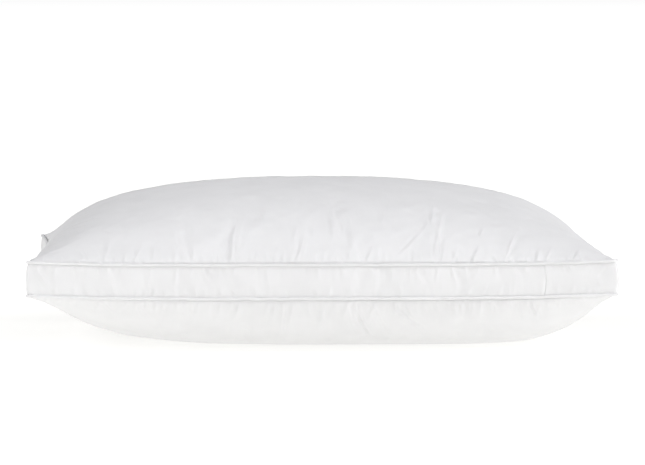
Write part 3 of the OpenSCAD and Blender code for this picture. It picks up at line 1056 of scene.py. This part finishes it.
def camera():
    """Level with the seams and far off, turned a little to the pillow's left."""
    yaw, pitch, turn = math.radians(2.3), math.radians(3.39), math.radians(0.131)
    distance, height = 4.247, 0.3717
    data = bpy.data.cameras.new("camera")
    data.lens = 204.3
    data.sensor_width = 36
    data.clip_end = 60
    eye = bpy.data.objects.new("camera", data)
    eye.location = (-distance * math.sin(yaw), -distance * math.cos(yaw), height)
    eye.rotation_euler = (math.pi / 2 - pitch, 0, -yaw - turn)
    bpy.context.collection.objects.link(eye)
    bpy.context.scene.camera = eye


FLOOR_SIZE = 30.0
FAR_GLOW = 1.05
# Strengths of the floor's glow, and how far they are from its darkest place, under the pillow's back.
# The glow is painted light, and its dip round its darkest place is a painted contact shadow.
GLOWS = (0.36, 0.73, FAR_GLOW)
GLOW_AT = (0.04, 0.26, 0.88)
PAINTED_SHADOW_MIDDLE = (0, 0.12, 0)


def floor():
    """A wide white floor whose glow is painted light: less near the pillow, as a painted contact shadow, and
    fully far off.
    """
    corners = [(x * FLOOR_SIZE, y * FLOOR_SIZE, 0) for x, y in ((-1, -1), (1, -1), (1, 1), (-1, 1))]
    plane = mesh_object("floor", corners, [(0, 1, 2, 3)])
    material, nodes, links, shader = new_material("floor_glow_painted_shadow", (0.3, 0.3, 0.3), 1.0)
    shader.inputs["Specular IOR Level"].default_value = 0
    # The floor's faintly warm glow is painted light: it whitens the pillow's shadow on the floor and lights
    # the pillow from below.
    shader.inputs["Emission Color"].default_value = (1, 0.996, 0.974, 1)
    # The glow dims towards the place under the pillow's back: a painted contact shadow.
    place = nodes.new("ShaderNodeNewGeometry")
    length = nodes.new("ShaderNodeVectorMath")
    length.operation = "DISTANCE"
    length.inputs[1].default_value = PAINTED_SHADOW_MIDDLE
    links.new(place.outputs["Position"], length.inputs[0])
    glow = nodes.new("ShaderNodeValToRGB")
    ramp = glow.color_ramp.elements
    ramp.new(GLOW_AT[1])
    for element, position, strength in zip(ramp, GLOW_AT, GLOWS):
        element.position = position
        element.color = (strength, strength, strength, 1)
    links.new(length.outputs["Value"], glow.inputs["Fac"])
    links.new(glow.outputs["Color"], shader.inputs["Emission Strength"])
    plane.data.materials.append(material)


# The sky's white ends at this height, as a share of straight up, and above it this much light is left.
HAZE_TOP = 0.05
SKY_DIM = 0.05


def sky():
    """A white horizon, and hardly any light from above it: the lamps light the pillow."""
    world = bpy.data.worlds.new("studio")
    bpy.context.scene.world = world
    world.use_nodes = True
    nodes, links = world.node_tree.nodes, world.node_tree.links
    place = nodes.new("ShaderNodeTexCoord")
    split = nodes.new("ShaderNodeSeparateXYZ")
    links.new(place.outputs["Generated"], split.inputs[0])
    ramp = nodes.new("ShaderNodeValToRGB")
    ramp.color_ramp.elements[0].color = (FAR_GLOW, FAR_GLOW, FAR_GLOW, 1)
    ramp.color_ramp.elements[1].position = HAZE_TOP
    ramp.color_ramp.elements[1].color = (SKY_DIM, SKY_DIM, SKY_DIM, 1)
    links.new(split.outputs["Z"], ramp.inputs["Fac"])
    links.new(ramp.outputs["Color"], nodes["Background"].inputs["Color"])


def lamp(name, place, size, power, colour):
    """A soft box that faces the pillow's middle."""
    data = bpy.data.lights.new(name, "AREA")
    data.shape = "RECTANGLE"
    data.size, data.size_y = size
    data.energy = power
    data.color = colour
    light = bpy.data.objects.new(name, data)
    light.location = place
    light.rotation_euler = (Vector((0, 0, UPPER_SEAM)) - Vector(place)).to_track_quat("-Z", "Y").to_euler()
    bpy.context.collection.objects.link(light)


# The two shades between which each white wanders.
PANEL_WHITES = ((0.810, 0.808, 0.812), (0.850, 0.848, 0.852))
PIPING_WHITES = ((0.80, 0.798, 0.802), (0.845, 0.843, 0.847))
white_cloth = woven("white_percale", PANEL_WHITES, 0.3 * MM)
piping_cloth = woven("white_bias_percale", PIPING_WHITES, 0.3 * MM, math.pi / 4)
thread_yarn = spun("white_thread", ((0.78, 0.78, 0.77), (0.9, 0.9, 0.89)), 0.3 * MM)
cord_yarn = spun("cotton_cord", ((0.74, 0.72, 0.67), (0.86, 0.85, 0.81)), 0.6 * MM)
fibre_white = fibre("white_fibre", ((0.78, 0.78, 0.78), (0.9, 0.9, 0.9)))
satin_white = satin("white_satin", ((0.88, 0.88, 0.87), (0.93, 0.93, 0.92)))

panel(True, white_cloth)
panel(False, white_cloth)
gusset(white_cloth)
for seam in LEVELS:
    piping_cord(seam, cord_yarn)
    piping_cover(seam, piping_cloth)
threads(thread_yarn)
fill(fibre_white)
care_label(satin_white)

camera()
floor()
sky()
DAYLIGHT, COOL_LIGHT = (0.985, 0.985, 1), (0.955, 0.962, 1)
lamp("front", (0.1, -4.5, 1.9), (3.5, 1.8), 61, DAYLIGHT)
lamp("right", (3.4, -1.3, 2.0), (2, 2), 82, DAYLIGHT)
lamp("left", (-3.1, -1, 2.9), (2, 2), 72, DAYLIGHT)
lamp("back", (2.4, 3.6, 1.1), (1.6, 1), 36, DAYLIGHT)
lamp("overhead", (0, 0, 3.5), (3, 3), 23, COOL_LIGHT)
bpy.context.scene.view_settings.view_transform = "Standard"
